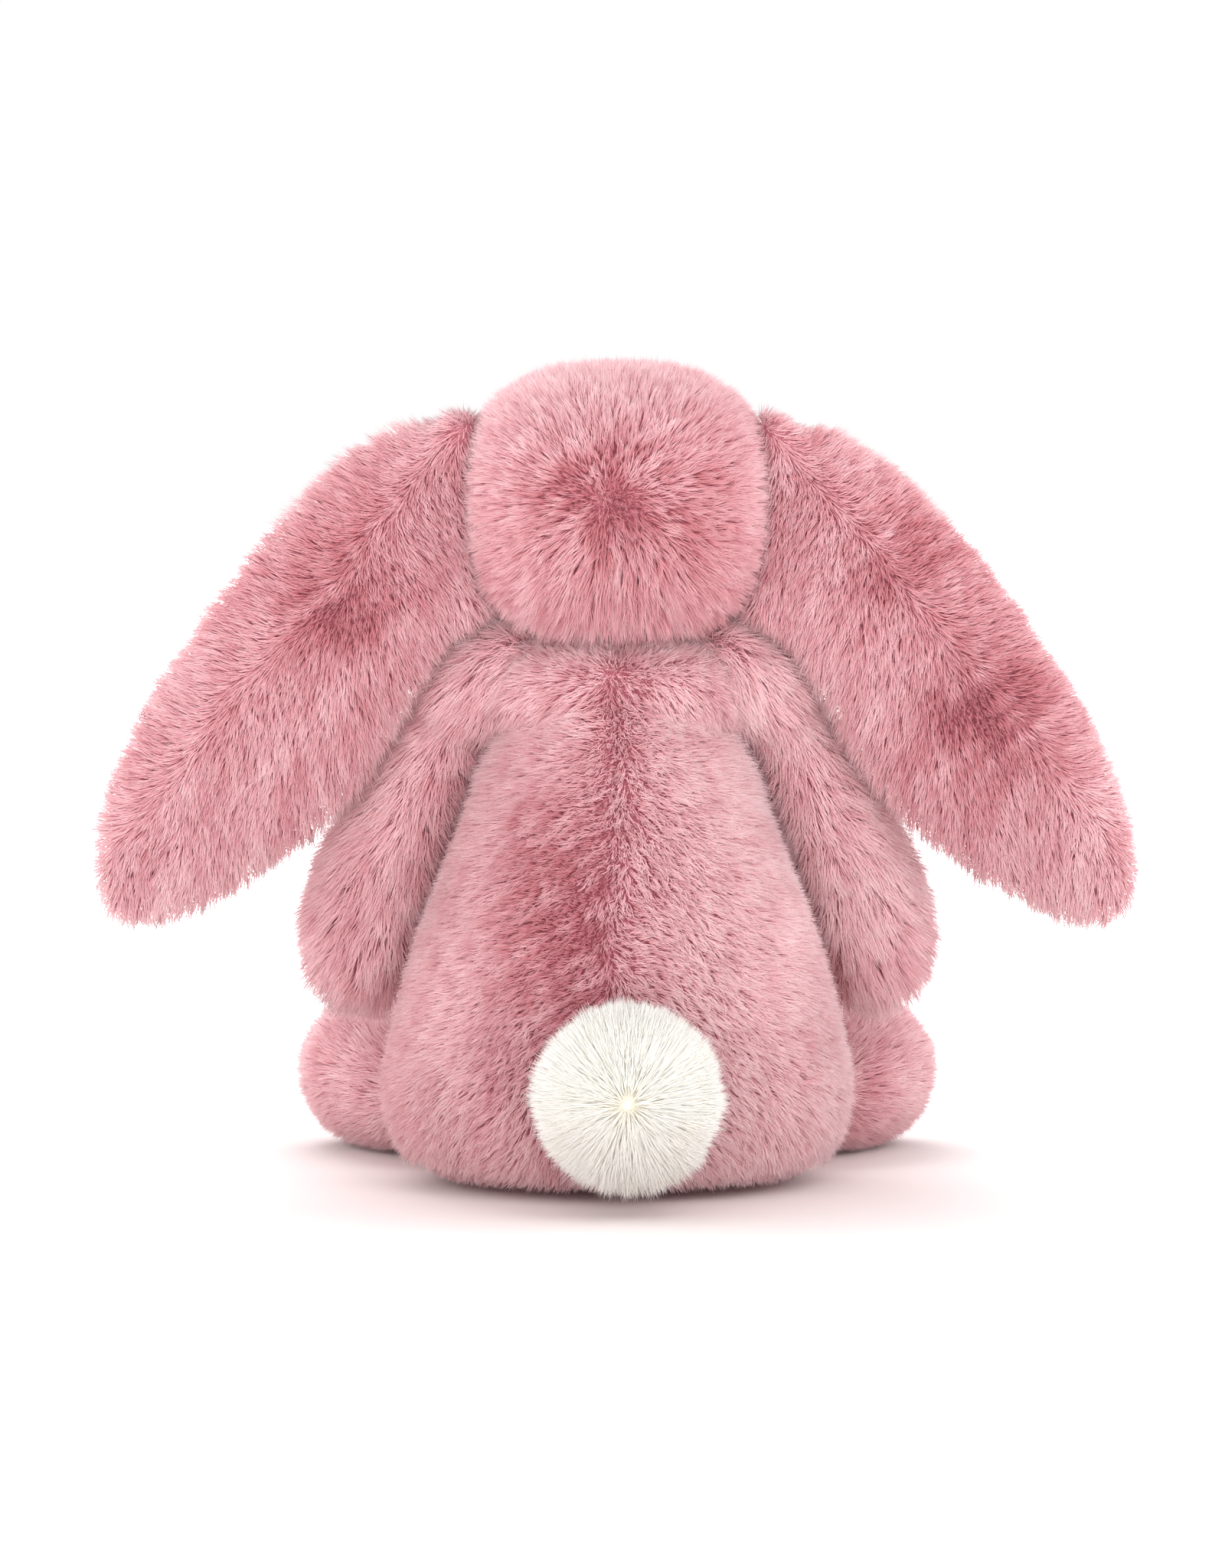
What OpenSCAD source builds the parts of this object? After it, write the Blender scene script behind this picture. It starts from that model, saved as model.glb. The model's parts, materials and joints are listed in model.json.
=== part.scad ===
// Stuffed bunny rabbit, sitting upright and facing -Y, with long ears that hang out to the sides.
// Each limb is a sewn cover of two or three panels around its own stuffing.
// Origin: centre of the flat seat, on the surface that the toy sits on. +X is the toy's own left.

/* [Torso] */
// Widest part of the torso, across the hips
torso_w = 120; // [100:1:130]
// Front to back at the hips
torso_d = 98; // [80:1:104]
// Seat to the top of the torso, under the head
torso_h = 134; // [124:1:136]
// Height of the widest part above the seat
hip_z = 23; // [16:1:30]
// Width of the torso just below the neck
shoulder_w = 44; // [40:1:50]
// Width of the flat seat
seat_w = 66; // [56:1:96]
// Thickness of the pile fabric of the covers, with its pile
pile_t = 5; // [3:0.5:6]
// Thickness of the seat panel
seat_t = 4; // [3:0.5:6]
// Most that the bag of pellets may stand above the seat panel
pouch_h = 29; // [20:1:41]

/* [Neck] */
// Radius of the stuffing that carries the head
neck_r = 7; // [5:0.5:9]

/* [Head] */
// Width of the head, without the ears
head_w = 78; // [66:1:79]
// Height of the head
head_h = 70; // [62:1:70]
// Height of the middle of the head above the surface
head_z = 173; // [172:0.5:176]
// Middle of the head to its back
head_back = 38; // [32:1:40]
// Middle of the head to the tip of the muzzle
muzzle_l = 47; // [40:1:50]
// Diameter of an eye
eye_d = 8.5; // [6:0.5:10]
// Width of the nose
nose_w = 12; // [8:0.5:14]
// Thickness of the thread of the mouth
thread_d = 1.4; // [1:0.1:2]

/* [Ears] */
// Widest part of an ear
ear_w = 60; // [44:1:60]
// Thickness of the furry back of an ear, at its middle
ear_back_t = 6; // [4:0.5:7]
// Thickness of the lining of an ear, at its middle
ear_lining_t = 3.5; // [2:0.5:4]
// Middle of an ear's tip out from the centre plane
ear_reach = 129; // [118:1:134]
// Height of the middle of an ear's tip above the surface
ear_tip_z = 68; // [66:1:84]

/* [Arms] */
// Radius of an arm at the shoulder
arm_root_r = 8.5; // [8:0.5:9]
// Radius of an arm at the paw
arm_paw_r = 16; // [13:0.5:16]

/* [Legs] */
// Radius of a leg at the hip
leg_root_r = 16; // [13:0.5:16]
// Radius of a leg at the foot
leg_foot_r = 21; // [18:0.5:21]

/* [Tail] */
// Diameter of the pompom tail
tail_d = 46; // [36:1:50]
// Depth of the pompom, front to back
tail_depth = 34; // [26:1:36]
// How far the tail is sewn to one side of the seam
tail_x = -2.5; // [-4:0.5:4]
// Height of the middle of the tail above the surface
tail_z = 29.5; // [26:0.5:34]

/* [Hidden] */

// Colours of the fabrics and fittings
fur = "palevioletred";
lining = "pink";
filling = "whitesmoke";
cream = "ivory";

// Gap that keeps a stuffing clear of its cover
slack = 0.25;
// Rows and columns of the sewn surfaces
torso_rows = 16;
head_rows = 14;
limb_rows = 12;
ear_rows = 14;
quarter = 8;

// Ends of the arm's and the leg's centre lines, and the point that each bends towards
arm_line = [[32.5, -13.5, 127.5], [53, -15.8, 106], [69, -30, 43]];
leg_line = [[41, -45, 17.5], [64, -53, 18.5], [68, -97, 21.8]];
// Middle line of an ear, as seen from the back
ear_line = [[41.5, 163.5], [54.5, 161], [ear_reach, ear_tip_z]];
ear_y = -8;
// Half of the gusset's share of the way round the head, in degrees
gusset_half = 32;
head_y = -6;
// Roundness of the head's rings, at its back and at the muzzle: 1 is an ellipse, and less is squarer
head_round = [0.7, 0.9];
// Where an eye sits: share of the way from the back of the head to the muzzle, and angle from the crown
eye_along = 0.86;
eye_angle = 72;

// --- Surfaces made of rows of points -------------------------------------------------------

// shut says whether the first and the last row are a single point each
function row_begin(i, width, shut) = i == 0 ? 0 : (shut[0] ? 1 : width) + (i - 1) * width;
function spot(i, j, rows, width, shut) =
    row_begin(i, width, shut)
    + ((i == 0 && shut[0]) || (i == rows && shut[1]) ? 0 : j % width);
function real(t) = t[0] == t[1] || t[1] == t[2] || t[0] == t[2] ? [] : [t];
function turned(faces) = [for (f = faces) [f[0], f[2], f[1]]];
function shifted(faces, by) = [for (f = faces) [f[0] + by, f[1] + by, f[2] + by]];
function flat_list(rows) = [for (r = rows) each r];

// Triangles between all rows: columns is the number of cells round or across
function sheet(rows, columns, width, shut) = [
    for (i = [0 : rows - 1], j = [0 : columns - 1])
        let (
            a = spot(i, j, rows, width, shut),
            b = spot(i, j + 1, rows, width, shut),
            c = spot(i + 1, j + 1, rows, width, shut),
            d = spot(i + 1, j, rows, width, shut)
        )
        each concat(real([a, b, c]), real([a, c, d]))
];

// Triangles that close the gap between two sheets along column j
function seam(rows, j, width, shut, by) = [
    for (i = [0 : rows - 1])
        let (a = spot(i, j, rows, width, shut), d = spot(i + 1, j, rows, width, shut))
        each [[a, d, d + by], [a, d + by, a + by]]
];

// Triangles that close the gap between two sheets along row i
function hem(i, columns, rows, width, shut, by) = [
    for (j = [0 : columns - 1])
        let (a = spot(i, j, rows, width, shut), b = spot(i, j + 1, rows, width, shut))
        each [[a, b + by, b], [a, a + by, b + by]]
];

// A panel of fabric between an outer and an inner sheet of rows
module panel(outer, inner, shut) {
    rows = len(outer) - 1;
    width = len(outer[1]);
    by = len(flat_list(outer));
    front = sheet(rows, width - 1, width, shut);
    faces = concat(
        front,
        turned(shifted(front, by)),
        seam(rows, 0, width, shut, by),
        turned(seam(rows, width - 1, width, shut, by)),
        shut[0] ? [] : hem(0, width - 1, rows, width, shut, by),
        shut[1] ? [] : turned(hem(rows, width - 1, rows, width, shut, by))
    );
    polyhedron(concat(flat_list(outer), flat_list(inner)), faces);
}

// A closed lump whose first and last rows are single points and whose other rows are rings
module lump(rings) {
    rows = len(rings) - 1;
    width = len(rings[1]);
    polyhedron(flat_list(rings), sheet(rows, width, width, [true, true]));
}

// Share of the way along, crowded towards both ends
function eased(i, rows) = (1 - cos(180 * i / rows)) / 2;
function angles(from, to, cells) = [for (j = [0 : cells]) from + (to - from) * j / cells];
function ring_angles(cells) = [for (j = [0 : cells - 1]) 360 * j / cells];
function cross_unit(a, b) = cross(a, b) / norm(cross(a, b));

// --- Torso ----------------------------------------------------------------------------------

// Half width at height z: a rounded bottom, a pear above the hips and a domed top
function pear(z) = z < hip_z
    ? seat_w / 2 + (torso_w - seat_w) / 2 * sqrt(1 - pow((hip_z - z) / hip_z, 2))
    : torso_w / 2 - (torso_w - shoulder_w) / 2 * pow((z - hip_z) / (torso_h - hip_z), 1.6);
dome = 14;
function domed(z) = z < torso_h - dome ? 1 : sqrt(max(0, 1 - pow((z - torso_h + dome) / dome, 2)));
function torso_point(z, angle, inset) =
    let (
        half_w = max(0.5, (pear(z) - inset) * domed(z)),
        half_d = max(0.5, (pear(z) * torso_d / torso_w - inset) * domed(z))
    )
    [half_w * cos(angle), half_d * sin(angle), z - inset * (z - seat_t) / (torso_h - seat_t)];

// A row for each height from the seat panel up, with one point at the top
function row_height(i) = seat_t + (torso_h - seat_t) * eased(i, torso_rows);
function torso_sheet(spread, inset) = [
    for (i = [0 : torso_rows])
        i == torso_rows
            ? [[0, 0, torso_h - inset]]
            : [for (a = spread) torso_point(row_height(i), a, inset)]
];

module torso_cover(from, to, cells) {
    spread = angles(from, to, cells);
    color(fur)
        panel(torso_sheet(spread, 0), torso_sheet(spread, pile_t), [false, true]);
}

module back_left_panel() { torso_cover(0, 90, quarter); }
module back_right_panel() { torso_cover(90, 180, quarter); }
module tummy_panel() { torso_cover(180, 360, 2 * quarter); }

module seat_panel() {
    outline = [
        for (a = ring_angles(4 * quarter))
            [torso_point(seat_t, a, 0).x, torso_point(seat_t, a, 0).y]
    ];
    color(fur)
        linear_extrude(seat_t) polygon(outline);
}

// Rows of the space inside the covers, closed flat at both ends
function torso_fill(first, last, gap) =
    let (rows = torso_sheet(ring_angles(4 * quarter), pile_t + gap))
    concat(
        [[[0, 0, rows[first][0].z]]],
        [for (i = [first : last]) rows[i]],
        [[[0, 0, rows[last][0].z]]]
    );
pouch_row = max([for (i = [0 : torso_rows]) if (row_height(i) <= seat_t + pouch_h) i]);

module bean_pouch() {
    color("tan")
        translate([0, 0, slack]) lump(torso_fill(0, pouch_row, slack));
}

module torso_stuffing() {
    color(filling)
        translate([0, 0, 2 * slack]) lump(torso_fill(pouch_row, torso_rows - 1, 4 * slack));
}

// --- Neck -----------------------------------------------------------------------------------

module neck_stuffing() {
    length = 1.8;
    color(filling)
        translate([0, 0, torso_h + slack]) cylinder(r = neck_r, h = length, $fn = 48);
}

// --- Head -----------------------------------------------------------------------------------

head_l = head_back + muzzle_l;
// Rings run from the back of the head, at along = 0, to the tip of the muzzle, at along = 1
function head_ring_y(along) = head_y + head_back - head_l * along;
middle = head_back / head_l;
// How full a ring is: round at the back, and longer and fuller towards the muzzle
function fullness(along) = along < middle
    ? sqrt(1 - pow((middle - along) / middle, 2))
    : pow(1 - pow((along - middle) / (1 - middle), 2.3), 0.62);
function roundness(along) =
    head_round[0] + (head_round[1] - head_round[0]) * max(0, along - middle) / (1 - middle);
function squarer(x, along) = sign(x) * pow(abs(x), roundness(along));
// The muzzle sits below the middle of the head
function head_ring_z(along) = head_z - (along < middle ? 0 : 9 * pow((along - middle) / (1 - middle), 2));
function head_point(along, angle, inset) =
    let (
        half_w = (head_w / 2 - inset) * fullness(along),
        half_h = (head_h / 2 - inset) * fullness(along),
        inner = inset * (1 - 2 * along)
    )
    [
        half_w * squarer(sin(angle), along),
        head_ring_y(along) - inner,
        head_ring_z(along) + half_h * squarer(cos(angle), along),
    ];
function head_sheet(spread, inset) = [
    for (i = [0 : head_rows])
        let (along = eased(i, head_rows))
        i == 0 || i == head_rows
            ? [head_point(along, 0, inset)]
            : [for (a = spread) head_point(along, a, inset)]
];

module head_cover(from, to, cells) {
    spread = angles(from, to, cells);
    color(fur)
        panel(head_sheet(spread, 0), head_sheet(spread, pile_t), [true, true]);
}

module head_left_panel() { head_cover(gusset_half, 180, 10); }
module head_right_panel() { head_cover(180, 360 - gusset_half, 10); }
module head_gusset() { head_cover(-gusset_half, gusset_half, 6); }

module head_stuffing() {
    color(filling) lump(head_sheet(ring_angles(24), pile_t + slack));
}

// Puts an eye's fittings at their place on one side of the head, with +Z out of the head
module at_eye(side) {
    spot = head_point(eye_along, eye_angle, 0);
    translate([side * spot.x, spot.y, spot.z])
        rotate([0, 0, side * 32]) rotate([82, 0, 0]) children();
}

stem_r = 1.6;
stem_l = 9;
module eye(side) {
    color("black")
        at_eye(side)
            rotate_extrude($fn = 48)
                union() {
                    intersection() {
                        circle(d = eye_d);
                        translate([0, -eye_d * 0.2]) square(eye_d);
                    }
                    translate([0, -stem_l]) square([stem_r, stem_l]);
                }
}

module eye_washer(side) {
    color("white")
        at_eye(side)
            translate([0, 0, -stem_l + 0.6])
                difference() {
                    cylinder(d = eye_d * 1.5, h = 1.2, $fn = 48);
                    translate([0, 0, -1]) cylinder(r = stem_r + 0.05, h = 4, $fn = 48);
                }
}

nose_tip = head_point(1, 0, 0);
module nose() {
    height = nose_w * 0.62;
    color("lightcoral")
        translate([0, nose_tip.y + 1.5, nose_tip.z + 4])
            rotate([90, 0, 0])
                linear_extrude(3.4)
                    offset(r = 1.6, $fn = 32)
                        polygon([
                            [-nose_w / 2 + 1.6, height / 2 - 1.6],
                            [nose_w / 2 - 1.6, height / 2 - 1.6],
                            [0, -height / 2 + 1.6],
                        ]);
}

// A thread of 8 sides along a line of points, closed flat at both ends
module thread(line, r) {
    last = len(line) - 1;
    ring = [
        for (i = [0 : last])
            let (
                ahead = line[min(last, i + 1)] - line[max(0, i - 1)],
                side = cross_unit(ahead, [0, 1, 0]),
                top = cross_unit(side, ahead)
            )
            [for (a = ring_angles(8)) line[i] + r * (cos(a) * side + sin(a) * top)]
    ];
    lump(concat([[line[0]]], ring, [[line[last]]]));
}

// The mouth: a stitch down from the nose, and one across below it that turns up at its ends
mouth_along = 0.95;
mouth_half = 44;
module mouth_thread() {
    across = [
        for (a = angles(180 - mouth_half, 180 + mouth_half, 12))
            head_point(mouth_along, a, 0)
    ];
    down = [
        for (along = angles(0.998, mouth_along + 0.008, 6))
            head_point(along, 180, 0)
    ];
    color("indianred") {
        thread(across, thread_d / 2);
        thread(down, thread_d / 2);
    }
}

// --- Ears -----------------------------------------------------------------------------------

// A point and a direction on a curve that starts at p[0], bends towards p[1] and ends at p[2]
function bend(p, t) = (1 - t) * (1 - t) * p[0] + 2 * t * (1 - t) * p[1] + t * t * p[2];
function heading(p, t) =
    let (d = (1 - t) * (p[1] - p[0]) + t * (p[2] - p[1])) d / norm(d);

// Half width along an ear: nearly full from the root to past the middle, then a round tip
function ear_half(t) = ear_w / 2 * pow(max(0, 1 - pow(t, 4.6)), 0.56);
// The lower edge is cut back where the ear hangs beside the arm
ear_cut = 0.32;
function ear_side(t, across) =
    across * (across < 0 ? 1 - ear_cut * (t < 0.35 ? 1 : sin(180 * min(1, t / 0.7))) : 1);
// The ear's middle surface bows a little to the back across its width and along its length
function ear_point(t, across, off) =
    let (c = bend(ear_line, t), d = heading(ear_line, t), out = ear_half(t) * ear_side(t, across))
    [
        c.x - d.y * out,
        ear_y + off + 3 * sin(180 * t) - 2 * across * across,
        c.y + d.x * out,
    ];
rim = 1.2;
function ear_swell(thick, t, across) =
    rim + (thick - rim) * sqrt(1 - across * across) * pow(max(0, 1 - pow(t, 3)), 0.5);
function ear_sheet(thick) = [
    for (i = [0 : ear_rows])
        let (t = 1 - pow(1 - i / ear_rows, 1.4))
        i == ear_rows
            ? [ear_point(1, 0, thick == 0 ? 0 : sign(thick) * rim)]
            : [for (a = [-1 : 0.25 : 1])
                ear_point(t, a, thick == 0 ? 0 : sign(thick) * ear_swell(abs(thick), t, a))]
];

module ear_back(side) {
    color(fur)
        on_side(side) panel(ear_sheet(ear_back_t), ear_sheet(0), [false, true]);
}

module ear_lining(side) {
    color(lining)
        on_side(side)
            translate([0, -slack / 2, 0])
                panel(ear_sheet(0), ear_sheet(-ear_lining_t), [false, true]);
}

// The right side is the mirror image of the left side
module on_side(side) {
    if (side < 0) mirror([1, 0, 0]) children();
    else children();
}

// --- Arms and legs --------------------------------------------------------------------------

// Roundness of the two ends, as a share of the full radius
function rounded(t, e0, e1) =
    t < e0 ? pow(max(0, 1 - pow((e0 - t) / e0, 2.4)), 0.42)
    : t > 1 - e1 ? pow(max(0, 1 - pow((t - 1 + e1) / e1, 2.4)), 0.42)
    : 1;

// A point on a limb: line is its middle, radii its radius at both ends, up the way angle 90 faces
function limb_point(line, radii, up, t, angle, inset) =
    let (
        length = norm(line[2] - line[0]),
        along = inset / length + t * (1 - 2 * inset / length),
        ease = along * along * (3 - 2 * along),
        full = radii[0] + (radii[1] - radii[0]) * ease,
        r = (full - inset) * rounded(t, radii[0] / length, radii[1] / length),
        forward = heading(line, along),
        side = cross_unit(forward, up),
        top = cross(side, forward)
    )
    bend(line, along) + r * (cos(angle) * side + sin(angle) * top);
function limb_sheet(line, radii, up, spread, inset) = [
    for (i = [0 : limb_rows])
        let (t = eased(i, limb_rows))
        i == 0 || i == limb_rows
            ? [limb_point(line, radii, up, t, 0, inset)]
            : [for (a = spread) limb_point(line, radii, up, t, a, inset)]
];

module limb_cover(line, radii, up, from) {
    spread = angles(from, from + 180, 10);
    color(fur)
        panel(
            limb_sheet(line, radii, up, spread, 0),
            limb_sheet(line, radii, up, spread, pile_t - 1),
            [true, true]
        );
}

module limb_stuffing(line, radii, up) {
    color(filling)
        lump(limb_sheet(line, radii, up, ring_angles(20), pile_t - 1 + slack));
}

arm_radii = [arm_root_r, arm_paw_r];
outward = [1, 0, 0.6];
module arm_outer_panel(side) { on_side(side) limb_cover(arm_line, arm_radii, outward, 0); }
module arm_inner_panel(side) { on_side(side) limb_cover(arm_line, arm_radii, outward, 180); }
module arm_stuffing(side) { on_side(side) limb_stuffing(arm_line, arm_radii, outward); }

leg_radii = [leg_root_r, leg_foot_r];
upward = [0, 0, 1];
module leg_top_panel(side) { on_side(side) limb_cover(leg_line, leg_radii, upward, 0); }
module leg_sole_panel(side) { on_side(side) limb_cover(leg_line, leg_radii, upward, 180); }
module leg_stuffing(side) { on_side(side) limb_stuffing(leg_line, leg_radii, upward); }

// --- Tail -----------------------------------------------------------------------------------

back_y = torso_d / 2;
tail_gap = 2;
gather_angle = 26;
// The pompom's outline, from its gathered mouth round to its back
function tail_point(angle, inset) = [
    (tail_d / 2 - inset) * sin(angle),
    -(tail_depth / 2 - inset) * cos(angle),
];
module at_tail() {
    translate([tail_x, back_y + tail_gap + tail_depth / 2, tail_z]) rotate([-90, 0, 0]) children();
}

module tail_cover() {
    cells = 20;
    curve = angles(gather_angle, 180, cells);
    color(cream)
        at_tail()
            rotate_extrude($fn = 64)
                polygon(concat(
                    [for (a = curve) tail_point(a, 0)],
                    [for (j = [0 : cells]) tail_point(curve[cells - j], pile_t)]
                ));
}

module tail_stuffing() {
    color(filling)
        at_tail()
            rotate_extrude($fn = 64)
                polygon([for (a = angles(0, 180, 20)) tail_point(a, pile_t + slack)]);
}

module tail_stitching() {
    length = 5;
    color(cream)
        translate([tail_x, back_y + 0.4, tail_z])
            rotate([-90, 0, 0]) cylinder(r = 5, h = length, $fn = 48);
}

// --------------------------------------------------------------------------------------------

back_left_panel();
back_right_panel();
tummy_panel();
seat_panel();
bean_pouch();
torso_stuffing();
neck_stuffing();
head_left_panel();
head_right_panel();
head_gusset();
head_stuffing();
eye(1);  // left_eye
eye(-1);  // right_eye
eye_washer(1);  // left_eye_washer
eye_washer(-1);  // right_eye_washer
nose();
mouth_thread();
ear_back(1);  // left_ear_back
ear_lining(1);  // left_ear_lining
ear_back(-1);  // right_ear_back
ear_lining(-1);  // right_ear_lining
arm_outer_panel(1);  // left_arm_outer_panel
arm_inner_panel(1);  // left_arm_inner_panel
arm_stuffing(1);  // left_arm_stuffing
arm_outer_panel(-1);  // right_arm_outer_panel
arm_inner_panel(-1);  // right_arm_inner_panel
arm_stuffing(-1);  // right_arm_stuffing
leg_top_panel(1);  // left_leg_top_panel
leg_sole_panel(1);  // left_leg_sole_panel
leg_stuffing(1);  // left_leg_stuffing
leg_top_panel(-1);  // right_leg_top_panel
leg_sole_panel(-1);  // right_leg_sole_panel
leg_stuffing(-1);  // right_leg_stuffing
tail_cover();
tail_stuffing();
tail_stitching();
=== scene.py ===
import json
import math

import bmesh
import bpy
import numpy as np
from mathutils import Matrix, Vector


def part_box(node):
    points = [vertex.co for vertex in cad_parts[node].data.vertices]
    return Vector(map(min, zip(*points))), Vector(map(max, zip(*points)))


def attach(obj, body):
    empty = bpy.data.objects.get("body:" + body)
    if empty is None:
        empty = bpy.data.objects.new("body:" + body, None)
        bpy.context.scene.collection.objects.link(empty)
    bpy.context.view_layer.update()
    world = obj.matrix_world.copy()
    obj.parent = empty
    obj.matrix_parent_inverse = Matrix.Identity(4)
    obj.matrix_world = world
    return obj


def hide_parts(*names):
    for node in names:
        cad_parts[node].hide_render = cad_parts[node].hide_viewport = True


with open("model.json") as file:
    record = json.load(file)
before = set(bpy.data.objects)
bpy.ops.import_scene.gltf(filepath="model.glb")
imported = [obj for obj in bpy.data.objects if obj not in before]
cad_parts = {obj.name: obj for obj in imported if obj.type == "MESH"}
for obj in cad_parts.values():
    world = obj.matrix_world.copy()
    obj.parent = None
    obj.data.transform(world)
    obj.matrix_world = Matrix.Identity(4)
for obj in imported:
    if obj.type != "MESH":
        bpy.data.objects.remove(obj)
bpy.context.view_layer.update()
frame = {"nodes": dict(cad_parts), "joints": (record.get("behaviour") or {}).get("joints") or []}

MM = 0.001
SIDES = (("left", 1), ("right", -1))
FULLNESS = 1.0
VOXEL = 3 * MM
PUFF_FRAMES = 20
PUFF_CAP = 2.0 * MM
# Room kept between a stuffing and the backing of its cover
BACKING = 1.3 * MM
UV_LAYER = "OFBake"


# --- Colours and materials --------------------------------------------------------------------

def linear(r, g, b):
    """An sRGB colour, 0 to 255, as linear RGBA."""
    def channel(c):
        c /= 255
        return c / 12.92 if c <= 0.04045 else ((c + 0.055) / 1.055) ** 2.4
    return (channel(r), channel(g), channel(b), 1.0)


def new_material(name):
    """A material with its Principled node, which is all it starts with."""
    mat = bpy.data.materials.new(name)
    mat.use_nodes = True
    return mat, mat.node_tree, mat.node_tree.nodes["Principled BSDF"]


def ramp(tree, source, stops):
    """A colour ramp fed by source, with stops of (place, colour)."""
    node = tree.nodes.new("ShaderNodeValToRGB")
    elements = node.color_ramp.elements
    while len(elements) < len(stops):
        elements.new(0.5)
    for element, (place, colour) in zip(elements, stops):
        element.position = place
        element.color = colour
    tree.links.new(source, node.inputs["Fac"])
    return node.outputs["Color"]


def mixed(tree, factor, a, b):
    """Two colours or sockets mixed by a socket."""
    node = tree.nodes.new("ShaderNodeMix")
    node.data_type = "RGBA"
    tree.links.new(factor, node.inputs["Factor"])
    for socket, value in ((node.inputs[6], a), (node.inputs[7], b)):
        if isinstance(value, tuple):
            socket.default_value = value
        else:
            tree.links.new(value, socket)
    return node.outputs[2]


def noise(tree, scale):
    """Noise over the object's own space, in features per metre."""
    place = tree.nodes.new("ShaderNodeTexCoord")
    node = tree.nodes.new("ShaderNodeTexNoise")
    node.inputs["Scale"].default_value = scale
    node.inputs["Detail"].default_value = 3.0
    node.inputs["Roughness"].default_value = 0.6
    tree.links.new(place.outputs["Object"], node.inputs["Vector"])
    return node.outputs["Fac"]


def bump(tree, shader, height, distance):
    node = tree.nodes.new("ShaderNodeBump")
    node.inputs["Distance"].default_value = distance
    node.inputs["Strength"].default_value = 1.0
    tree.links.new(height, node.inputs["Height"])
    tree.links.new(node.outputs["Normal"], shader.inputs["Normal"])


def hair_material(name, dark, light, sheen):
    """Hair coloured from its root to its tip: the hair's own colour, with painted shade at the darker root
    and painted light at the paler tip. The map holds each hair's tone across and the way up it.
    """
    mat, tree, shader = new_material(name)
    place = tree.nodes.new("ShaderNodeUVMap")
    place.uv_map = UV_LAYER
    split = tree.nodes.new("ShaderNodeSeparateXYZ")
    tree.links.new(place.outputs["UV"], split.inputs["Vector"])
    along = split.outputs["Y"]
    stops = (0.0, 0.35, 0.75, 1.0)
    dark_hair = ramp(tree, along, list(zip(stops, dark)))
    light_hair = ramp(tree, along, list(zip(stops, light)))
    tree.links.new(mixed(tree, split.outputs["X"], dark_hair, light_hair), shader.inputs["Base Color"])
    shader.inputs["Roughness"].default_value = 0.8
    shader.inputs["Specular IOR Level"].default_value = 0.08
    shader.inputs["Sheen Weight"].default_value = sheen
    shader.inputs["Sheen Tint"].default_value = light[2]
    shader.inputs["Sheen Roughness"].default_value = 0.45
    return mat


def backing_material(name, dark, light):
    """The knitted backing under the pile, seen only between the hairs."""
    mat, tree, shader = new_material(name)
    fine = noise(tree, 900.0)
    colour = ramp(tree, fine, [(0.3, dark), (0.7, light)])
    tree.links.new(colour, shader.inputs["Base Color"])
    bump(tree, shader, fine, 0.4 * MM)
    shader.inputs["Roughness"].default_value = 0.9
    shader.inputs["Sheen Weight"].default_value = 0.2
    return mat


PINK_DARK = [linear(144, 64, 76), linear(178, 92, 102), linear(208, 132, 140), linear(230, 164, 170)]
PINK_LIGHT = [linear(218, 140, 150), linear(236, 173, 179), linear(249, 208, 212), linear(254, 230, 232)]
pink_fur = hair_material("pink_pile", PINK_DARK, PINK_LIGHT, 0.35)
pink_backing = backing_material("pink_backing", linear(176, 96, 110), linear(206, 130, 142))
CREAM_DARK = [linear(238, 228, 202), linear(238, 231, 213), linear(239, 235, 226), linear(241, 239, 234)]
CREAM_LIGHT = [linear(243, 237, 220), linear(243, 239, 229), linear(244, 242, 237), linear(245, 244, 241)]
cream_fur = hair_material("cream_pile", CREAM_DARK, CREAM_LIGHT, 0.3)
cream_backing = backing_material("cream_backing", linear(244, 236, 214), linear(250, 245, 230))
LINING_DARK = [linear(196, 128, 138), linear(214, 154, 162), linear(228, 176, 182), linear(234, 186, 192)]
LINING_LIGHT = [linear(218, 158, 166), linear(234, 184, 190), linear(244, 204, 208), linear(248, 214, 218)]
lining_fur = hair_material("lining_pile", LINING_DARK, LINING_LIGHT, 0.45)


# --- Covers: the sewn shapes under the pile ----------------------------------------------------

def applied(ob):
    """ob with its modifiers turned into its mesh."""
    shape = bpy.data.meshes.new_from_object(
        ob.evaluated_get(bpy.context.evaluated_depsgraph_get()))
    ob.modifiers.clear()
    old = ob.data
    ob.data = shape
    bpy.data.meshes.remove(old)
    return ob


def coordinates(mesh):
    co = np.empty(len(mesh.vertices) * 3, np.float32)
    mesh.vertices.foreach_get("co", co)
    return co.reshape(-1, 3).astype(float)


def set_coordinates(mesh, co):
    mesh.vertices.foreach_set("co", co.astype(np.float32).ravel())
    mesh.update()


def cover(name, nodes, lumps=()):
    """One closed skin round some CAD solids and extra round lumps of (centre, radii), in metres."""
    bm = bmesh.new()
    for node in nodes:
        bm.from_mesh(frame["nodes"][node].data)
    for centre, radii in lumps:
        place = Matrix.Translation(centre) @ Matrix.Diagonal((*radii, 1))
        bmesh.ops.create_icosphere(bm, subdivisions=3, radius=1, matrix=place)
    mesh = bpy.data.meshes.new(name)
    bm.to_mesh(mesh)
    bm.free()
    ob = bpy.data.objects.new(name, mesh)
    bpy.context.scene.collection.objects.link(ob)
    remesh = ob.modifiers.new("even", "REMESH")
    remesh.mode = "VOXEL"
    remesh.voxel_size = VOXEL
    remesh.use_smooth_shade = True
    smooth = ob.modifiers.new("smooth", "SMOOTH")
    smooth.iterations = 6
    smooth.factor = 0.5
    return applied(ob)


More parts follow.
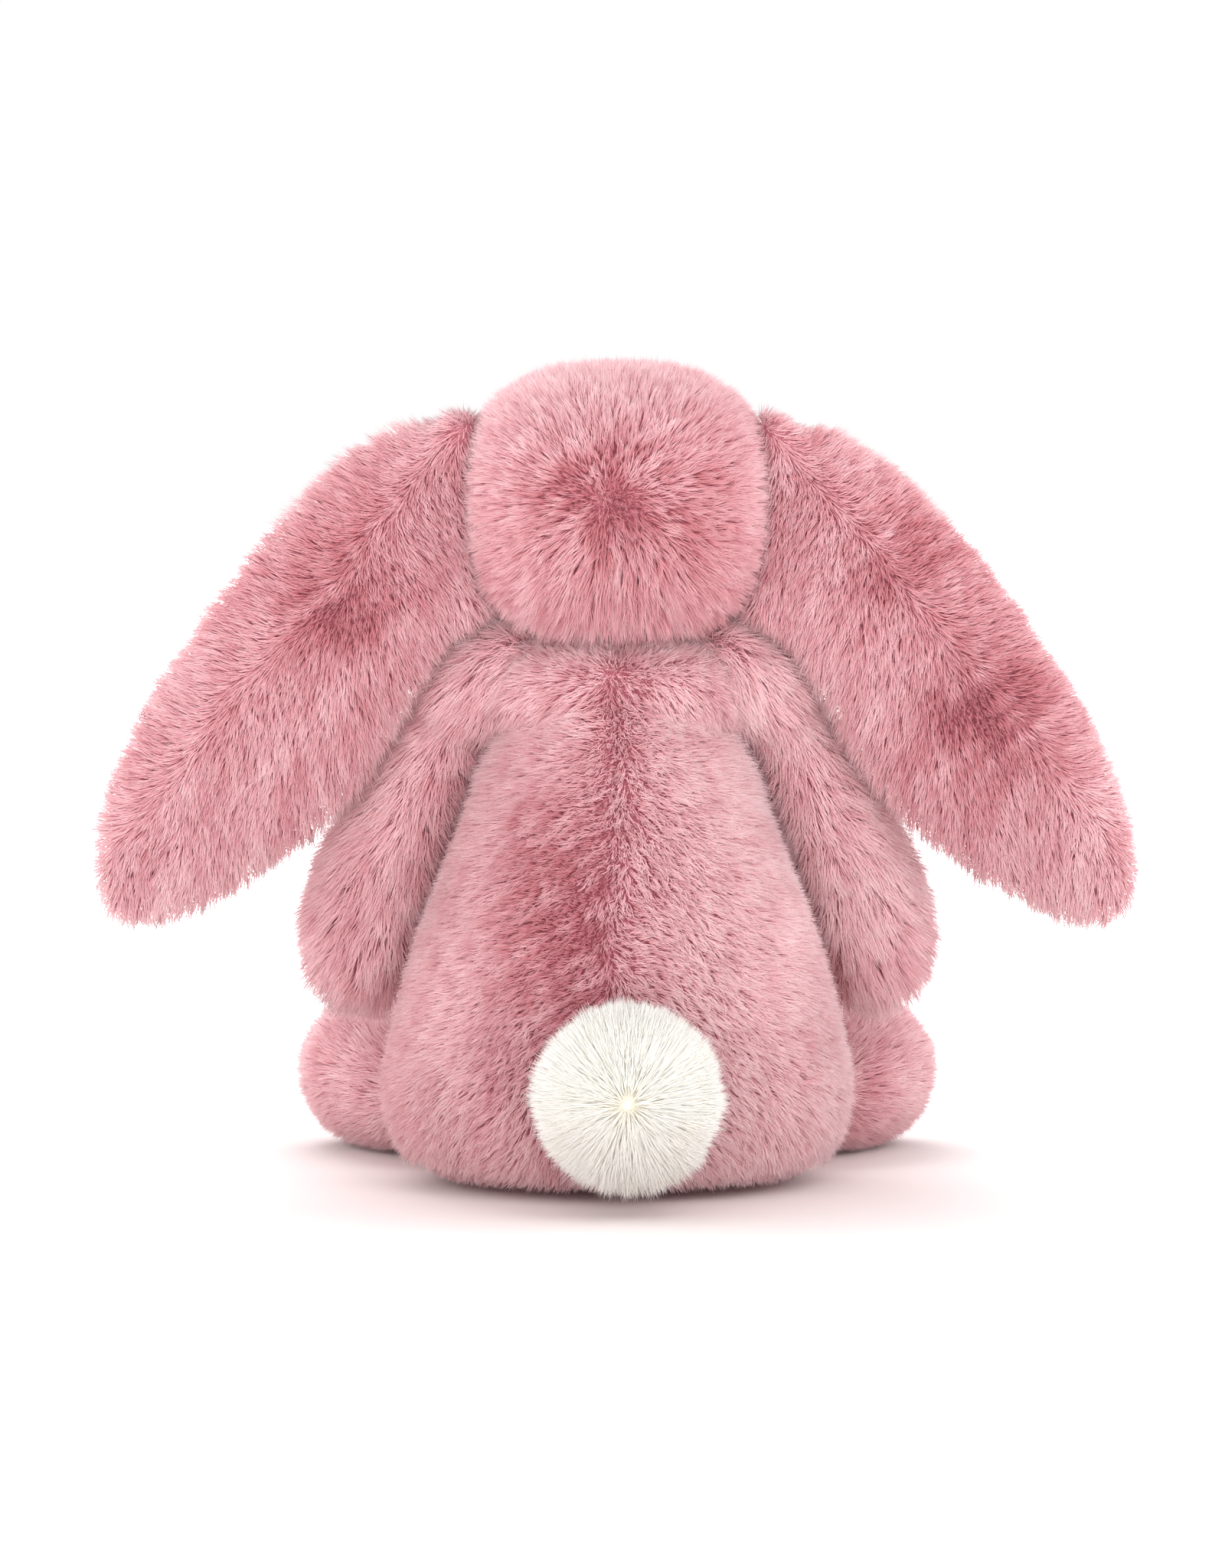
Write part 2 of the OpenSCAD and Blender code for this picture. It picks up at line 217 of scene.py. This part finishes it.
def puff(skins):
    """Inflates the covers as stuffed cloth, all in one simulation, moving no point further than the cap."""
    before = {ob: coordinates(ob.data) for ob in skins}
    normals = {ob: vertex_normals(ob.data) for ob in skins}
    for ob in skins:
        cloth = ob.modifiers.new("puff", "CLOTH")
        cloth.settings.use_pressure = True
        cloth.settings.uniform_pressure_force = 4
        cloth.settings.effector_weights.gravity = 0
        cloth.point_cache.frame_end = PUFF_FRAMES
    for step in range(1, PUFF_FRAMES + 1):
        bpy.context.scene.frame_set(step)
    graph = bpy.context.evaluated_depsgraph_get()
    after = {ob: coordinates(ob.evaluated_get(graph).data) for ob in skins}
    for ob in skins:
        ob.modifiers.clear()
        move = after[ob] - before[ob]
        far = np.linalg.norm(move, axis=1, keepdims=True)
        move *= np.minimum(1, PUFF_CAP / np.maximum(far, 1e-9))
        set_coordinates(ob.data, before[ob] + move + BACKING * normals[ob])
    bpy.context.scene.frame_set(1)


def vertex_normals(mesh):
    normals = np.empty(len(mesh.vertices) * 3, np.float32)
    mesh.vertex_normals.foreach_get("vector", normals)
    return normals.reshape(-1, 3).astype(float)


def finer(ob):
    divide = ob.modifiers.new("finer", "SUBSURF")
    divide.levels = divide.render_levels = 1
    return applied(ob)


def groove(ob, distance, where, width=2.2 * MM, depth=0.5 * MM):
    """Pulls a seam in along distance(P) = 0, in the part of the cover that where(P) picks."""
    co = coordinates(ob.data)
    pull = depth * np.exp(-((distance(co) / width) ** 2)) * where(co)
    set_coordinates(ob.data, co - pull[:, None] * vertex_normals(ob.data))


# --- Pile: hairs as thin tapered strips ---------------------------------------------------------

def unit(v):
    return v / np.maximum(np.linalg.norm(v, axis=-1, keepdims=True), 1e-12)


def dot(a, b):
    return np.sum(a * b, axis=-1, keepdims=True)


def waves(P, size, seed):
    """Smooth noise from about -1 to 1 with features of about size metres."""
    rng = np.random.default_rng(seed)
    total = np.zeros(len(P))
    for k in range(6):
        way = unit(rng.normal(size=3)) * (0.6 + 0.25 * k)
        total += np.sin(P @ way * 2 * math.pi / size + rng.uniform(0, 2 * math.pi))
    return total / 2.6


def scatter(ob, density, rng, weight):
    """Points and normals spread evenly over a surface, density of them to a square millimetre."""
    mesh = ob.data
    mesh.calc_loop_triangles()
    corners = np.empty(len(mesh.loop_triangles) * 3, np.int32)
    mesh.loop_triangles.foreach_get("vertices", corners)
    corners = corners.reshape(-1, 3)
    V, N = coordinates(mesh), vertex_normals(mesh)
    a, b, c = V[corners[:, 0]], V[corners[:, 1]], V[corners[:, 2]]
    area = np.linalg.norm(np.cross(b - a, c - a), axis=1) / 2
    middle = (a + b + c) / 3
    facing = unit(np.cross(b - a, c - a))
    area = area * weight(middle, facing)
    count = int(area.sum() / MM**2 * density * FULLNESS)
    pick = np.sort(rng.choice(len(area), size=count, p=area / area.sum()))
    u, v = rng.random(count), rng.random(count)
    flip = u + v > 1
    u[flip], v[flip] = 1 - u[flip], 1 - v[flip]
    w = np.stack([1 - u - v, u, v], 1)[:, :, None]
    P = (V[corners[pick]] * w).sum(1)
    return P, unit((N[corners[pick]] * w).sum(1))


def hashed(cell, seed):
    """A repeatable number from 0 to 1 for each whole-numbered cell."""
    turn = cell @ np.array([127.1, 311.7, 74.7]) + seed * 19.19
    return np.modf(np.abs(np.sin(turn) * 43758.5453))[0]


def tufts(P, size, seed):
    """The tuft that each hair leans to: its middle, and a number of its own."""
    cell = np.floor(P / size)
    best = np.full(len(P), 1e9)
    centre, chosen = np.zeros_like(P), np.zeros_like(P)
    for i in (-1, 0, 1):
        for j in (-1, 0, 1):
            for k in (-1, 0, 1):
                near = cell + np.array([i, j, k])
                jitter = np.stack([hashed(near, seed + s) for s in (1, 2, 3)], 1)
                place = (near + jitter) * size
                far = np.sum((P - place) ** 2, axis=1)
                closer = far < best
                best[closer] = far[closer]
                centre[closer] = place[closer]
                chosen[closer] = near[closer]
    return centre, chosen


# Corners of one hair: its root, a ring of three where it bends, and its tip
RING = 2 * math.pi / 3 * np.arange(3)
SPINDLE = np.array([[0, 2, 1], [0, 3, 2], [0, 1, 3], [1, 2, 4], [2, 3, 4], [3, 1, 4]])
BEND = 0.45
HAIRS_IN_PIECE = 33000


def pile(name, ob, body, material, flow, weight, seed, density=5.0, length=7.5, lean=(14, 56),
         width=0.24, tuft=1.6, gather=0.42, stray=0.32, tone=None, trim=None, stand=None, sleek=0):
    """Hairs over part of a cover, as spindles that taper to a point. Lengths are in millimetres.
    flow(P, N) is the way the hairs are brushed, and weight(P, N) is 1 where they grow.
    tone, trim and stand change the shade, the length and the lean from place to place; where tone varies it
    paints light and shade into the hair.
    The more sleek it is, the less one hair is shaded apart from the next."""
    rng = np.random.default_rng(seed)
    P, N = scatter(ob, density, rng, weight)
    count = len(P)
    centre, chosen = tufts(P, tuft * MM, seed)
    tuft_way = np.stack([hashed(chosen, seed + s) - 0.5 for s in (4, 5, 6)], 1)
    brushed = unit(flow(P, N)) + stray * 2 * tuft_way + 0.16 * rng.normal(size=(count, 3))
    T = unit(brushed - dot(brushed, N) * N)
    tall = length * MM * (0.88 + 0.2 * hashed(chosen, seed + 7)) * rng.uniform(0.86, 1.06, count)
    if trim is not None:
        tall *= trim(P, N)
    jitter = 0.16 * rng.normal(size=(2, count))
    inward = centre - P
    inward -= dot(inward, N) * N

    upright = np.zeros(count) if stand is None else stand(P, N)
    gather = gather * (1 + upright)[:, None]

    def heading(angle, off):
        angle = np.radians(angle) * (1 - upright) + off
        return N * np.cos(angle)[:, None] + T * np.sin(angle)[:, None]

    low_way, high_way = heading(lean[0], jitter[0]), heading(lean[1], jitter[1])
    root = P - 0.6 * MM * N
    bend = root + low_way * (tall * BEND)[:, None] + 0.4 * gather * inward
    tip = bend + high_way * (tall * (1 - BEND))[:, None] + 0.6 * gather * inward
    way = unit(tip - root)
    side = unit(np.cross(way, N) + 1e-6)
    up = np.cross(way, side)
    around = (RING[None] + rng.uniform(0, 2 * math.pi, count)[:, None])[:, :, None]
    radial = np.cos(around) * side[:, None] + np.sin(around) * up[:, None]
    thick = (width * MM / 2 * rng.uniform(0.75, 1.25, count))[:, None, None]
    verts = np.concatenate([root[:, None], bend[:, None] + thick * radial, tip[:, None]], 1)
    shown = N + 0.2 * tuft_way
    normals = np.concatenate([shown[:, None], unit((0.55 + sleek) * shown[:, None] + 0.5 * radial),
                              unit(0.7 * shown + 0.5 * way)[:, None]], 1)
    verts[:, :, 2] = np.maximum(verts[:, :, 2], 0.3 * MM)
    shade = 0.5 + 0.25 * (hashed(chosen, seed + 8) - 0.5) + 0.1 * rng.normal(size=count)
    shade += 0.09 * waves(P, 30 * MM, 51) + 0.12 * waves(P, 10 * MM, 52)
    if tone is not None:
        shade += tone(P, N)
    uv = np.empty((count, 5, 2))
    uv[:, :, 0] = np.clip(shade, 0.03, 0.97)[:, None] + np.array([0, -1, 0, 1, 0]) * 0.008
    uv[:, :, 1] = np.array([0.02, BEND, BEND, BEND, 0.98])
    shares = math.ceil(count / HAIRS_IN_PIECE)
    for k, hairs in enumerate(np.array_split(np.argsort(P[:, 2]), shares)):
        title = name if shares == 1 else f"{name}_{k + 1}"
        hair = hair_object(title, verts[hairs], normals[hairs], uv[hairs], material)
        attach(hair, body)


def hair_object(name, verts, normals, uv, material):
    """One mesh of hairs, five corners each."""
    count = len(verts)
    faces = (np.arange(count)[:, None, None] * 5 + SPINDLE[None]).reshape(-1, 3)
    mesh = bpy.data.meshes.new(name)
    mesh.vertices.add(count * 5)
    set_coordinates(mesh, verts.reshape(-1, 3))
    mesh.loops.add(len(faces) * 3)
    mesh.loops.foreach_set("vertex_index", faces.astype(np.int32).ravel())
    mesh.polygons.add(len(faces))
    mesh.polygons.foreach_set("loop_start", np.arange(0, len(faces) * 3, 3, dtype=np.int32))
    layer = mesh.uv_layers.new(name=UV_LAYER)
    layer.data.foreach_set("uv", uv.reshape(-1, 2)[faces.ravel()].astype(np.float32).ravel())
    mesh.update(calc_edges=True)
    mesh.normals_split_custom_set_from_vertices(normals.reshape(-1, 3))
    mesh.materials.append(material)
    ob = bpy.data.objects.new(name, mesh)
    bpy.context.scene.collection.objects.link(ob)
    return ob


def everywhere(P, N):
    return np.ones(len(P))


# --- Places that the covers need, from the frame -------------------------------------------------

def corner(node):
    low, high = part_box(node)
    return np.array(low), np.array(high)


def place(*mm):
    return Vector(mm) * MM


head_low, head_high = corner("head_left_panel")
crown = corner("head_gusset")[1][2]
tail_low, tail_high = corner("tail_cover")
joint_at = {j["name"]: np.array(j["pos_m"]) for j in frame["joints"]}
whorl = np.array([0.002, head_high[1], crown - 33 * MM])
tail_pole = (tail_low + tail_high) / 2
tail_pole[1] = tail_high[1] - 3 * MM

# Middles of the lumps that fill the covers out where their stuffing stops short of the pile
neck_base = place(0, -5, 125)
nose_low, nose_high = corner("nose")
muzzle = Vector((0, nose_high[1] + 11 * MM, nose_low[2] - 2 * MM))
tail_root = Vector((tail_pole[0], tail_low[1] + 8 * MM, tail_pole[2]))

covers = {
    "torso": cover("torso_cover", ["torso_stuffing", "bean_pouch"], [(neck_base, place(31, 20, 13))]),
    "head": cover("head_cover", ["head_stuffing"], [(muzzle, place(17, 12, 13))]),
    "tail": cover("pompom_cover", ["tail_stuffing"], [(tail_root, place(16, 11, 16))]),
}
for side, s in SIDES:
    shoulder = Vector(joint_at[f"{side}_arm_swing"])
    covers[f"{side}_arm"] = cover(
        f"{side}_arm_cover", [f"{side}_arm_stuffing"],
        [(shoulder + place(-s * k, 0.6 * k, 3 + 0.7 * k), place(8, 8, 8)) for k in (2, 7, 12)])
    hip = Vector(joint_at[f"{side}_leg_lift"])
    covers[f"{side}_leg"] = cover(
        f"{side}_leg_cover", [f"{side}_leg_stuffing"],
        [(hip + place(-s * k, k, 0), place(13, 13, 13)) for k in (0, 7)])
puff(list(covers.values()))
for side, s in SIDES:
    root = Vector(joint_at[f"{side}_ear_lift"])
    covers[f"{side}_ear"] = cover(
        f"{side}_ear_cover", [f"{side}_ear_back", f"{side}_ear_lining"],
        [(root + place(-s * (7.5 + 0.05 * k), 2, 2 - k), place(6, 6, 7)) for k in (0, 10, 20, 30, 40)])
for ob in covers.values():
    finer(ob)
groove(covers["torso"], lambda P: P[:, 0], lambda P: (P[:, 1] > 0) & (P[:, 2] < 0.125))
groove(covers["head"], lambda P: P[:, 0], lambda P: (P[:, 1] > 0) & (P[:, 2] < whorl[2]))

STANDS_FOR = {
    "torso": ["back_left_panel", "back_right_panel", "tummy_panel", "seat_panel"],
    "head": ["head_left_panel", "head_right_panel", "head_gusset"],
    "tail": ["tail_cover"],
}
for side, s in SIDES:
    STANDS_FOR[f"{side}_arm"] = [f"{side}_arm_outer_panel", f"{side}_arm_inner_panel"]
    STANDS_FOR[f"{side}_leg"] = [f"{side}_leg_top_panel", f"{side}_leg_sole_panel"]
    STANDS_FOR[f"{side}_ear"] = [f"{side}_ear_back", f"{side}_ear_lining"]
for body, ob in covers.items():
    cream = body == "tail"
    ob.data.materials.clear()
    ob.data.materials.append(cream_backing if cream else pink_backing)
    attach(ob, body)
    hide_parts(*STANDS_FOR[body])


# --- The way the pile is brushed ------------------------------------------------------------------

DOWN = np.array([0.0, 0.0, -1.0])


def wander(P, size, seed, amount):
    return amount * np.stack([waves(P, size, seed + k) for k in range(3)], 1)


def near(P, centre, radius):
    """1 at a point, falling off smoothly within radius of it."""
    return np.exp(-np.sum((P - centre) ** 2, axis=1) / radius**2)


def torso_flow(P, N):
    """Down the body, and a little away from the seam at the back."""
    off_seam = P[:, 0] + 2 * MM * waves(P, 25 * MM, 15)
    flow = np.tile(DOWN, (len(P), 1)) * 0.7 + wander(P, 45 * MM, 11, 0.3)
    flow[:, 0] += np.tanh(off_seam / (4 * MM)) * (0.2 + 0.5 * np.exp(-np.abs(off_seam) / (25 * MM)))
    return flow


def head_flow(P, N):
    """Out from the whorl at the back of the head, and down the face."""
    front = np.clip((10 * MM - P[:, 1:2]) / (30 * MM), 0, 1)
    return (1 - 0.7 * front) * unit(P - whorl) + 0.9 * front * DOWN + wander(P, 22 * MM, 21, 0.22)


def limb_flow(start, end):
    way = unit(np.array(end) - np.array(start))
    return lambda P, N: way + wander(P, 30 * MM, 31, 0.2)


def ear_axes(root, tip, s):
    """The ear's length, the way along it, and the way across it to its upper edge."""
    along = unit(tip - root)
    return np.linalg.norm(tip - root), along, np.array([-s * along[2], 0, s * along[0]])


def ear_flow(root, tip, s):
    """Out to the upper edge above a parting along the ear, and down below it, fanning out at the root."""
    length, along, up = ear_axes(root, tip, s)
    to_head = np.array([-s, 0, 0])

    def flow(P, N):
        above = np.clip(((P - root) @ up - 10 * MM) / (5 * MM), -1, 1)[:, None] / 2 + 0.5
        rootward = np.clip(1 - 2.2 * (P - root) @ along / length, 0, 1)[:, None]
        outward = up + 0.4 * along
        hanging = DOWN + 0.25 * along + 0.7 * rootward * to_head
        return above * outward + (1 - above) * hanging + wander(P, 30 * MM, 41, 0.2)
    return flow


def tail_flow(P, N):
    """Out from the middle of the back of the pompom."""
    return P - tail_pole


# --- The pile of each panel ------------------------------------------------------------------------

def part_of(s, fore=None):
    """Weights for one side of the toy, and for its front or back if fore says which."""
    def weight(P, N):
        keep = (P[:, 0] * s > 0) & (N[:, 2] > -0.93)
        if fore is not None:
            keep &= (P[:, 1] < 0) == fore
        return keep.astype(float)
    return weight


def faces_back(P, N):
    return (N[:, 1] > -0.65).astype(float)


def faces_front(P, N):
    """The front of the ear, and the part of its rim that the pile of the back also covers."""
    return (N[:, 1] < -0.3).astype(float)


left_eye_at = (corner("left_eye")[0] + corner("left_eye")[1]) / 2
nose_at = (nose_low + nose_high) / 2


def on_left(P):
    """Points with those on the right side mirrored to the left."""
    return np.abs(P) * np.array([1, 0, 0]) + P * np.array([0, 1, 1])


def face_trim(P, N):
    """Shorter pile round the eyes and the nose."""
    short = 0.75 * near(on_left(P), left_eye_at, 8 * MM) + 0.6 * near(P, nose_at, 15 * MM)
    return np.clip(1 - short, 0.2, 1)


armpit_at = joint_at["left_arm_swing"] + np.array([-0.007, 0.007, -0.010])


def torso_trim(P, N):
    """Shorter pile along the back seam and under the toy, longer in the armpits."""
    seam = np.exp(-((P[:, 0] / (1.6 * MM)) ** 2)) * (P[:, 1] > 0)
    armpit = near(on_left(P), armpit_at, 14 * MM)
    return 1 - 0.15 * seam - 0.4 * (N[:, 2] < -0.6) + 0.6 * armpit


def head_trim(P, N):
    """Longer pile low on the head, where it covers the neck."""
    low = np.clip((head_low[2] + 30 * MM - P[:, 2]) / (18 * MM), 0, 1)
    return face_trim(P, N) * (1 + 0.9 * low * np.exp(-((P[:, 0] / (25 * MM)) ** 2)))


def head_stand(P, N):
    return np.clip(0.2 + 0.6 * parted_head(P, N), 0, 1)


def arm_trim(hand):
    """Longer pile at the paw, and where the ear and the body lie against the arm."""
    def trim(P, N):
        high = np.clip((P[:, 2] - 60 * MM) / (20 * MM), 0, 1)
        return 1 + 0.3 * near(P, hand, 20 * MM) + 0.35 * high * np.abs(N[:, 0])
    return trim


def arm_stand(hand, s):
    """Fuller pile at the paw and on the side towards the body."""
    return lambda P, N: 0.45 * near(P, hand, 20 * MM) + 0.5 * (N[:, 0] * s < -0.5)


def ear_trim(root, tip, s):
    """Longer pile below the outer half of the ear; the drooping right ear's upper edge is pressed flat."""
    length, along, up = ear_axes(root, tip, s)

    def trim(P, N):
        outer = np.clip(3 * ((P - root) @ along) / length - 0.2, 0, 1)
        lower = np.clip(-(N @ up), 0, 1)
        upper = np.clip(N @ up, 0, 1) * (s < 0)
        fan = 0.15 * near(P, root + place(-6 * s, 0, 26), 7 * MM)
        return 1 + 0.3 * outer * lower - 0.35 * upper - fan
    return trim


def ear_light_and_shade(root, tip, s):
    """Painted shade where the pile is parted, and pale painted light at the tip and along the edge."""
    length, along, _ = ear_axes(root, tip, s)

    def tone(P, N):
        outer = np.clip(3 * ((P - root) @ along) / length - 2, 0, 1)
        edge = 1 - N[:, 1] ** 2
        return 0.25 * outer + 0.42 * edge**2 - 0.1 - 0.85 * parted_ear(s)(P, N)
    return tone


def ear_stand(s):
    return lambda P, N: np.clip(0.8 * parted_ear(s)(P, N), 0, 0.9)


# Where the pile was pressed and has parted
pressed_back = np.array([0.012, 0.045, 0.074])
pressed_nape = np.array([0.0, 0.025, 0.128])
pressed_ear = {1: np.array([0.070, 0, 0.146]), -1: np.array([0.093, 0, 0.121])}


def mottled(P):
    return np.clip(0.8 + 0.7 * waves(P, 8 * MM, 61), 0.1, 1.5)


def parted_back(P, N):
    """Where the pile stands up and shows its roots, and where shade is painted into it: left of the seam,
    and at the nape.
    """
    spot = (P - pressed_back) * np.array([1, 0.5, 0.45])
    left_of_seam = 0.5 + 0.5 * np.tanh(P[:, 0] / (2 * MM))
    long_spot = 1.2 * left_of_seam * np.exp(-np.sum(spot**2, axis=1) / (13 * MM) ** 2)
    return mottled(P) * (long_spot + 0.7 * near(P, pressed_nape, 13 * MM))


def parted_head(P, N):
    wide = (P - whorl) * np.array([0.55, 1, 1.1])
    return mottled(P) * near(wide, np.array([3 * MM, 0, 3 * MM]), 14 * MM)


def parted_ear(s):
    def parted(P, N):
        flat = P * np.array([s, 0, 1])
        amount = 1.2 if s < 0 else 0.7
        upper = 0.5 * near(flat, pressed_ear[s] + place(-20, 0, 38), 12 * MM) * (s < 0)
        return mottled(P) * (amount * near(flat, pressed_ear[s], 12 * MM) + upper)
    return parted


def back_stand(P, N):
    return 0.25 + 0.4 * parted_back(P, N)


def back_light_and_shade(P, N):
    """Painted shade where the pile is parted, and painted light, paler to the right and low down."""
    low = np.clip(1 - P[:, 2] / (18 * MM), 0, 1)
    return 0.12 - 0.16 * np.tanh(P[:, 0] / (20 * MM)) + 0.3 * low - 0.6 * parted_back(P, N)


# Painted light and shade on the head: paler on top, higher up and towards the left side, darker towards the
# right and where the pile is parted.
def head_light_and_shade(P, N):
    side = np.tanh(P[:, 0] / (20 * MM))
    high = np.tanh((P[:, 2] - whorl[2] + 8 * MM) / (14 * MM))
    top = np.clip(N[:, 2], 0, 1)
    return -0.12 + 0.06 * side + 0.12 * high + 0.15 * top**2 - 0.8 * parted_head(P, N)


for side, s in SIDES:
    seed = 100 if s > 0 else 200
    pile(f"back_{side}_pile", covers["torso"], "torso", pink_fur, torso_flow,
         part_of(s, False), seed + 1, density=6.0, length=7.0, lean=(10, 46), stray=0.42,
         trim=torso_trim, tone=back_light_and_shade, stand=back_stand)
    pile(f"tummy_{side}_pile", covers["torso"], "torso", pink_fur, torso_flow,
         part_of(s, True), seed + 2, density=3.8, trim=torso_trim, tone=lambda P, N: 0.1)
    pile(f"head_{side}_pile", covers["head"], "head", pink_fur, head_flow,
         part_of(s), seed + 3, density=6.0, length=7.0, lean=(10, 40), stray=0.5,
         trim=head_trim, tone=head_light_and_shade, stand=head_stand)
    shoulder = joint_at[f"{side}_arm_swing"]
    hand = np.array([s * 70 * MM, -28 * MM, 43 * MM])
    # The arms' tone is painted light: the right arm's pile is painted paler than the left's.
    pile(f"{side}_arm_pile", covers[f"{side}_arm"], f"{side}_arm", pink_fur,
         limb_flow(shoulder, hand), everywhere, seed + 4, length=10.0, tuft=2.6,
         trim=arm_trim(hand), stand=arm_stand(hand, s), tone=lambda P, N: 0.1 - 0.06 * s)
    hip = joint_at[f"{side}_leg_lift"]
    toe = np.array([s * 66 * MM, -96 * MM, 21 * MM])
    pile(f"{side}_leg_pile", covers[f"{side}_leg"], f"{side}_leg", pink_fur,
         limb_flow(hip, toe), everywhere, seed + 5, tone=lambda P, N: 0.02)
    root = joint_at[f"{side}_ear_lift"] + np.array([0, 0, -20 * MM])
    tip = np.array([s * 128 * MM, -8 * MM, 70 * MM])
    pile(f"{side}_ear_pile", covers[f"{side}_ear"], f"{side}_ear", pink_fur,
         ear_flow(root, tip, s), faces_back, seed + 6, density=6.0, length=7.2, lean=(10, 44),
         stray=0.2, gather=0.3, trim=ear_trim(root, tip, s), tone=ear_light_and_shade(root, tip, s), stand=ear_stand(s))
    pile(f"{side}_lining_pile", covers[f"{side}_ear"], f"{side}_ear", lining_fur,
         ear_flow(root, tip, s), faces_front, seed + 7, length=3.5, tuft=1.5)
pile("tail_pile", covers["tail"], "tail", cream_fur, tail_flow, everywhere, 301,
     density=10.0, length=9.8, lean=(38, 74), tuft=4.0, stray=0.06, gather=0.12, width=0.2, sleek=1,
     stand=lambda P, N: 0.2 * near(P, tail_pole, 6 * MM))


# --- Small parts ---------------------------------------------------------------------------------

def give(nodes, material):
    for node in nodes:
        data = frame["nodes"][node].data
        data.materials.clear()
        data.materials.append(material)


def plain_material(name, scale, dark, light, rough):
    """A material with a fine mottling."""
    mat, tree, shader = new_material(name)
    colour = ramp(tree, noise(tree, scale), [(0.3, dark), (0.7, light)])
    tree.links.new(colour, shader.inputs["Base Color"])
    shader.inputs["Roughness"].default_value = rough
    return mat


stuffing_mat = plain_material("fibre_stuffing", 300, linear(214, 214, 210), linear(246, 246, 244), 0.95)
bead_mat = plain_material("eye_bead", 200, linear(12, 9, 9), linear(24, 18, 17), 0.08)
thread_mat = plain_material("thread", 2500, linear(128, 58, 70), linear(168, 88, 100), 0.6)
give([n for n in frame["nodes"] if "stuffing" in n], stuffing_mat)
give(["bean_pouch", "tail_stitching", "left_eye_washer", "right_eye_washer"], stuffing_mat)
give(["left_eye", "right_eye"], bead_mat)
give(["nose", "mouth_thread"], thread_mat)


# --- Floor, light and camera ------------------------------------------------------------------------

bpy.ops.mesh.primitive_plane_add(size=8)
floor = bpy.context.object
floor.name = "floor"
floor_mat, tree, shader = new_material("floor")
spot = tree.nodes.new("ShaderNodeTexCoord")
reach = tree.nodes.new("ShaderNodeVectorMath")
reach.operation = "LENGTH"
tree.links.new(spot.outputs["Object"], reach.inputs[0])
# Painted shadow and painted pink bounce light: darker and warm near the toy, where it throws its colour
# back, and white further out
painted_floor_shadow = [(0.06, linear(236, 222, 221)), (0.12, linear(240, 235, 234)), (0.24, linear(254, 253, 253))]
tree.links.new(ramp(tree, reach.outputs["Value"], painted_floor_shadow), shader.inputs["Base Color"])
# Painted light: the floor glows white from 0.17 m outwards, which also lights the toy from below
glow = [(0.17, (0, 0, 0, 1)), (0.55, (1, 1, 1, 1))]
tree.links.new(ramp(tree, reach.outputs["Value"], glow), shader.inputs["Emission Color"])
shader.inputs["Emission Strength"].default_value = 1.0
shader.inputs["Roughness"].default_value = 0.9
shader.inputs["Specular IOR Level"].default_value = 0.1
floor.data.materials.append(floor_mat)

world = bpy.data.worlds.new("studio")
bpy.context.scene.world = world
world.use_nodes = True
world.node_tree.nodes["Background"].inputs["Color"].default_value = (1, 1, 1, 1)
world.node_tree.nodes["Background"].inputs["Strength"].default_value = 1.0


def lamp(name, at, size, power):
    data = bpy.data.lights.new(name, "AREA")
    data.size = size
    data.energy = power
    ob = bpy.data.objects.new(name, data)
    ob.location = at
    ob.rotation_euler = (Vector((0, 0, 0.1)) - Vector(at)).to_track_quat("-Z", "Y").to_euler()
    bpy.context.scene.collection.objects.link(ob)


lamp("key", (-0.8, 1.0, 1.1), 1.0, 5.5)
lamp("fill", (0.8, 1.3, 0.5), 1.2, 4.0)
lamp("left", (1.4, 0, 0.5), 1.2, 6.0)
lamp("right", (-1.4, 0, 0.5), 1.2, 6.0)
lamp("low", (0, 1.3, 0.02), 1.0, 12.0)
lamp("front", (0.3, -1.0, 1.1), 1.0, 11.0)

DISTANCE = 1.8
ELEVATION = math.radians(4.5)
# Height of the picture at the toy, and the height of the sensor in millimetres
VIEW_HEIGHT = 0.3973
SENSOR = 24
aim = place(1.2, 0, 101.4)
camera = bpy.data.objects.new("camera", bpy.data.cameras.new("camera"))
camera.data.sensor_fit = "VERTICAL"
camera.data.sensor_height = SENSOR
camera.data.lens = SENSOR * DISTANCE / VIEW_HEIGHT
camera.location = aim + DISTANCE * Vector((0, math.cos(ELEVATION), math.sin(ELEVATION)))
camera.rotation_euler = (aim - camera.location).to_track_quat("-Z", "Y").to_euler()
bpy.context.scene.collection.objects.link(camera)
bpy.context.scene.camera = camera
bpy.context.scene.view_settings.view_transform = "Standard"
